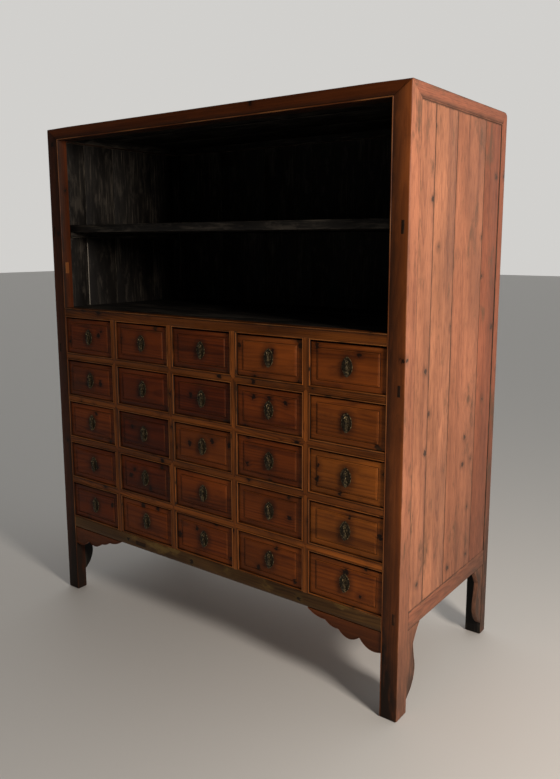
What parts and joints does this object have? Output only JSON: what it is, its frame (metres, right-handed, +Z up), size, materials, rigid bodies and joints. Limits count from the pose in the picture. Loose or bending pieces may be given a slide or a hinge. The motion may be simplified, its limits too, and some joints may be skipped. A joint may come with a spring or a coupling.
{
  "type": "apothecary cabinet",
  "caption": "Tall free-standing wooden cabinet with an open shelved compartment above a grid of small sliding drawers with swinging drop pulls.",
  "frame": {"origin": "on the floor, in the middle of the outline seen from above, pulls included", "axes": "+X to the right of someone facing the drawers, +Y to the back, +Z up"},
  "size_m": [1.506, 0.6736, 1.8],
  "materials": {
    "lacquered_wood": "worn red-brown lacquer, satin",
    "drawer_wood": "worn amber lacquer, satin",
    "side_wood": "worn dull lacquer over pine",
    "black_lacquer": "scratched black lacquer, semi-matt",
    "raw_wood": "bare aged softwood",
    "aged_brass": "dark patinated brass"
  },
  "bodies": {
    "carcass": {"front_left_post": "lacquered_wood", "front_right_post": "lacquered_wood", "back_left_post": "lacquered_wood", "back_right_post": "lacquered_wood", "top": "side_wood", "left_side_panel": "side_wood", "right_side_panel": "side_wood", "back_panel": "raw_wood", "drawer_grid": "lacquered_wood", "shelf": "black_lacquer"},
    "drawer_r1c1": {"drawer_r1c1": "drawer_wood"},
    "pull_r1c1": {"pull_r1c1": "aged_brass"},
    "drawer_r1c2": {"drawer_r1c2": "drawer_wood"},
    "pull_r1c2": {"pull_r1c2": "aged_brass"},
    "drawer_r1c3": {"drawer_r1c3": "drawer_wood"},
    "pull_r1c3": {"pull_r1c3": "aged_brass"},
    "drawer_r1c4": {"drawer_r1c4": "drawer_wood"},
    "pull_r1c4": {"pull_r1c4": "aged_brass"},
    "drawer_r1c5": {"drawer_r1c5": "drawer_wood"},
    "pull_r1c5": {"pull_r1c5": "aged_brass"},
    "drawer_r2c1": {"drawer_r2c1": "drawer_wood"},
    "pull_r2c1": {"pull_r2c1": "aged_brass"},
    "drawer_r2c2": {"drawer_r2c2": "drawer_wood"},
    "pull_r2c2": {"pull_r2c2": "aged_brass"},
    "drawer_r2c3": {"drawer_r2c3": "drawer_wood"},
    "pull_r2c3": {"pull_r2c3": "aged_brass"},
    "drawer_r2c4": {"drawer_r2c4": "drawer_wood"},
    "pull_r2c4": {"pull_r2c4": "aged_brass"},
    "drawer_r2c5": {"drawer_r2c5": "drawer_wood"},
    "pull_r2c5": {"pull_r2c5": "aged_brass"},
    "drawer_r3c1": {"drawer_r3c1": "drawer_wood"},
    "pull_r3c1": {"pull_r3c1": "aged_brass"},
    "drawer_r3c2": {"drawer_r3c2": "drawer_wood"},
    "pull_r3c2": {"pull_r3c2": "aged_brass"},
    "drawer_r3c3": {"drawer_r3c3": "drawer_wood"},
    "pull_r3c3": {"pull_r3c3": "aged_brass"},
    "drawer_r3c4": {"drawer_r3c4": "drawer_wood"},
    "pull_r3c4": {"pull_r3c4": "aged_brass"},
    "drawer_r3c5": {"drawer_r3c5": "drawer_wood"},
    "pull_r3c5": {"pull_r3c5": "aged_brass"},
    "drawer_r4c1": {"drawer_r4c1": "drawer_wood"},
    "pull_r4c1": {"pull_r4c1": "aged_brass"},
    "drawer_r4c2": {"drawer_r4c2": "drawer_wood"},
    "pull_r4c2": {"pull_r4c2": "aged_brass"},
    "drawer_r4c3": {"drawer_r4c3": "drawer_wood"},
    "pull_r4c3": {"pull_r4c3": "aged_brass"},
    "drawer_r4c4": {"drawer_r4c4": "drawer_wood"},
    "pull_r4c4": {"pull_r4c4": "aged_brass"},
    "drawer_r4c5": {"drawer_r4c5": "drawer_wood"},
    "pull_r4c5": {"pull_r4c5": "aged_brass"},
    "drawer_r5c1": {"drawer_r5c1": "drawer_wood"},
    "pull_r5c1": {"pull_r5c1": "aged_brass"},
    "drawer_r5c2": {"drawer_r5c2": "drawer_wood"},
    "pull_r5c2": {"pull_r5c2": "aged_brass"},
    "drawer_r5c3": {"drawer_r5c3": "drawer_wood"},
    "pull_r5c3": {"pull_r5c3": "aged_brass"},
    "drawer_r5c4": {"drawer_r5c4": "drawer_wood"},
    "pull_r5c4": {"pull_r5c4": "aged_brass"},
    "drawer_r5c5": {"drawer_r5c5": "drawer_wood"},
    "pull_r5c5": {"pull_r5c5": "aged_brass"}
  },
  "joints": [
    {"name": "drawer_r1c1_slide", "type": "slide", "parent": "carcass", "child": "drawer_r1c1", "axis": [0, -1, 0], "range_m": [0, 0.42]},
    {"name": "drawer_r1c2_slide", "type": "slide", "parent": "carcass", "child": "drawer_r1c2", "axis": [0, -1, 0], "range_m": [0, 0.42]},
    {"name": "drawer_r1c3_slide", "type": "slide", "parent": "carcass", "child": "drawer_r1c3", "axis": [0, -1, 0], "range_m": [0, 0.42]},
    {"name": "drawer_r1c4_slide", "type": "slide", "parent": "carcass", "child": "drawer_r1c4", "axis": [0, -1, 0], "range_m": [0, 0.42]},
    {"name": "drawer_r1c5_slide", "type": "slide", "parent": "carcass", "child": "drawer_r1c5", "axis": [0, -1, 0], "range_m": [0, 0.42]},
    {"name": "drawer_r2c1_slide", "type": "slide", "parent": "carcass", "child": "drawer_r2c1", "axis": [0, -1, 0], "range_m": [0, 0.42]},
    {"name": "drawer_r2c2_slide", "type": "slide", "parent": "carcass", "child": "drawer_r2c2", "axis": [0, -1, 0], "range_m": [0, 0.42]},
    {"name": "drawer_r2c3_slide", "type": "slide", "parent": "carcass", "child": "drawer_r2c3", "axis": [0, -1, 0], "range_m": [0, 0.42]},
    {"name": "drawer_r2c4_slide", "type": "slide", "parent": "carcass", "child": "drawer_r2c4", "axis": [0, -1, 0], "range_m": [0, 0.42]},
    {"name": "drawer_r2c5_slide", "type": "slide", "parent": "carcass", "child": "drawer_r2c5", "axis": [0, -1, 0], "range_m": [0, 0.42]},
    {"name": "drawer_r3c1_slide", "type": "slide", "parent": "carcass", "child": "drawer_r3c1", "axis": [0, -1, 0], "range_m": [0, 0.42]},
    {"name": "drawer_r3c2_slide", "type": "slide", "parent": "carcass", "child": "drawer_r3c2", "axis": [0, -1, 0], "range_m": [0, 0.42]},
    {"name": "drawer_r3c3_slide", "type": "slide", "parent": "carcass", "child": "drawer_r3c3", "axis": [0, -1, 0], "range_m": [0, 0.42]},
    {"name": "drawer_r3c4_slide", "type": "slide", "parent": "carcass", "child": "drawer_r3c4", "axis": [0, -1, 0], "range_m": [0, 0.42]},
    {"name": "drawer_r3c5_slide", "type": "slide", "parent": "carcass", "child": "drawer_r3c5", "axis": [0, -1, 0], "range_m": [0, 0.42]},
    {"name": "drawer_r4c1_slide", "type": "slide", "parent": "carcass", "child": "drawer_r4c1", "axis": [0, -1, 0], "range_m": [0, 0.42]},
    {"name": "drawer_r4c2_slide", "type": "slide", "parent": "carcass", "child": "drawer_r4c2", "axis": [0, -1, 0], "range_m": [0, 0.42]},
    {"name": "drawer_r4c3_slide", "type": "slide", "parent": "carcass", "child": "drawer_r4c3", "axis": [0, -1, 0], "range_m": [0, 0.42]},
    {"name": "drawer_r4c4_slide", "type": "slide", "parent": "carcass", "child": "drawer_r4c4", "axis": [0, -1, 0], "range_m": [0, 0.42]},
    {"name": "drawer_r4c5_slide", "type": "slide", "parent": "carcass", "child": "drawer_r4c5", "axis": [0, -1, 0], "range_m": [0, 0.42]},
    {"name": "drawer_r5c1_slide", "type": "slide", "parent": "carcass", "child": "drawer_r5c1", "axis": [0, -1, 0], "range_m": [0, 0.42]},
    {"name": "drawer_r5c2_slide", "type": "slide", "parent": "carcass", "child": "drawer_r5c2", "axis": [0, -1, 0], "range_m": [0, 0.42]},
    {"name": "drawer_r5c3_slide", "type": "slide", "parent": "carcass", "child": "drawer_r5c3", "axis": [0, -1, 0], "range_m": [0, 0.42]},
    {"name": "drawer_r5c4_slide", "type": "slide", "parent": "carcass", "child": "drawer_r5c4", "axis": [0, -1, 0], "range_m": [0, 0.42]},
    {"name": "drawer_r5c5_slide", "type": "slide", "parent": "carcass", "child": "drawer_r5c5", "axis": [0, -1, 0], "range_m": [0, 0.42]},
    {"name": "pull_r1c1_swing", "type": "hinge", "parent": "drawer_r1c1", "child": "pull_r1c1", "pos_m": [-0.568, -0.33065, 1.0519], "axis": [-1, 0, 0], "range_deg": [0, 150]},
    {"name": "pull_r1c2_swing", "type": "hinge", "parent": "drawer_r1c2", "child": "pull_r1c2", "pos_m": [-0.284, -0.33065, 1.0519], "axis": [-1, 0, 0], "range_deg": [0, 150]},
    {"name": "pull_r1c3_swing", "type": "hinge", "parent": "drawer_r1c3", "child": "pull_r1c3", "pos_m": [0, -0.33065, 1.0519], "axis": [-1, 0, 0], "range_deg": [0, 150]},
    {"name": "pull_r1c4_swing", "type": "hinge", "parent": "drawer_r1c4", "child": "pull_r1c4", "pos_m": [0.284, -0.33065, 1.0519], "axis": [-1, 0, 0], "range_deg": [0, 150]},
    {"name": "pull_r1c5_swing", "type": "hinge", "parent": "drawer_r1c5", "child": "pull_r1c5", "pos_m": [0.568, -0.33065, 1.0519], "axis": [-1, 0, 0], "range_deg": [0, 150]},
    {"name": "pull_r2c1_swing", "type": "hinge", "parent": "drawer_r2c1", "child": "pull_r2c1", "pos_m": [-0.568, -0.33065, 0.8884], "axis": [-1, 0, 0], "range_deg": [0, 150]},
    {"name": "pull_r2c2_swing", "type": "hinge", "parent": "drawer_r2c2", "child": "pull_r2c2", "pos_m": [-0.284, -0.33065, 0.8884], "axis": [-1, 0, 0], "range_deg": [0, 150]},
    {"name": "pull_r2c3_swing", "type": "hinge", "parent": "drawer_r2c3", "child": "pull_r2c3", "pos_m": [0, -0.33065, 0.8884], "axis": [-1, 0, 0], "range_deg": [0, 150]},
    {"name": "pull_r2c4_swing", "type": "hinge", "parent": "drawer_r2c4", "child": "pull_r2c4", "pos_m": [0.284, -0.33065, 0.8884], "axis": [-1, 0, 0], "range_deg": [0, 150]},
    {"name": "pull_r2c5_swing", "type": "hinge", "parent": "drawer_r2c5", "child": "pull_r2c5", "pos_m": [0.568, -0.33065, 0.8884], "axis": [-1, 0, 0], "range_deg": [0, 150]},
    {"name": "pull_r3c1_swing", "type": "hinge", "parent": "drawer_r3c1", "child": "pull_r3c1", "pos_m": [-0.568, -0.33065, 0.7249], "axis": [-1, 0, 0], "range_deg": [0, 150]},
    {"name": "pull_r3c2_swing", "type": "hinge", "parent": "drawer_r3c2", "child": "pull_r3c2", "pos_m": [-0.284, -0.33065, 0.7249], "axis": [-1, 0, 0], "range_deg": [0, 150]},
    {"name": "pull_r3c3_swing", "type": "hinge", "parent": "drawer_r3c3", "child": "pull_r3c3", "pos_m": [0, -0.33065, 0.7249], "axis": [-1, 0, 0], "range_deg": [0, 150]},
    {"name": "pull_r3c4_swing", "type": "hinge", "parent": "drawer_r3c4", "child": "pull_r3c4", "pos_m": [0.284, -0.33065, 0.7249], "axis": [-1, 0, 0], "range_deg": [0, 150]},
    {"name": "pull_r3c5_swing", "type": "hinge", "parent": "drawer_r3c5", "child": "pull_r3c5", "pos_m": [0.568, -0.33065, 0.7249], "axis": [-1, 0, 0], "range_deg": [0, 150]},
    {"name": "pull_r4c1_swing", "type": "hinge", "parent": "drawer_r4c1", "child": "pull_r4c1", "pos_m": [-0.568, -0.33065, 0.5614], "axis": [-1, 0, 0], "range_deg": [0, 150]},
    {"name": "pull_r4c2_swing", "type": "hinge", "parent": "drawer_r4c2", "child": "pull_r4c2", "pos_m": [-0.284, -0.33065, 0.5614], "axis": [-1, 0, 0], "range_deg": [0, 150]},
    {"name": "pull_r4c3_swing", "type": "hinge", "parent": "drawer_r4c3", "child": "pull_r4c3", "pos_m": [0, -0.33065, 0.5614], "axis": [-1, 0, 0], "range_deg": [0, 150]},
    {"name": "pull_r4c4_swing", "type": "hinge", "parent": "drawer_r4c4", "child": "pull_r4c4", "pos_m": [0.284, -0.33065, 0.5614], "axis": [-1, 0, 0], "range_deg": [0, 150]},
    {"name": "pull_r4c5_swing", "type": "hinge", "parent": "drawer_r4c5", "child": "pull_r4c5", "pos_m": [0.568, -0.33065, 0.5614], "axis": [-1, 0, 0], "range_deg": [0, 150]},
    {"name": "pull_r5c1_swing", "type": "hinge", "parent": "drawer_r5c1", "child": "pull_r5c1", "pos_m": [-0.568, -0.33065, 0.3979], "axis": [-1, 0, 0], "range_deg": [0, 150]},
    {"name": "pull_r5c2_swing", "type": "hinge", "parent": "drawer_r5c2", "child": "pull_r5c2", "pos_m": [-0.284, -0.33065, 0.3979], "axis": [-1, 0, 0], "range_deg": [0, 150]},
    {"name": "pull_r5c3_swing", "type": "hinge", "parent": "drawer_r5c3", "child": "pull_r5c3", "pos_m": [0, -0.33065, 0.3979], "axis": [-1, 0, 0], "range_deg": [0, 150]},
    {"name": "pull_r5c4_swing", "type": "hinge", "parent": "drawer_r5c4", "child": "pull_r5c4", "pos_m": [0.284, -0.33065, 0.3979], "axis": [-1, 0, 0], "range_deg": [0, 150]},
    {"name": "pull_r5c5_swing", "type": "hinge", "parent": "drawer_r5c5", "child": "pull_r5c5", "pos_m": [0.568, -0.33065, 0.3979], "axis": [-1, 0, 0], "range_deg": [0, 150]}
  ]
}
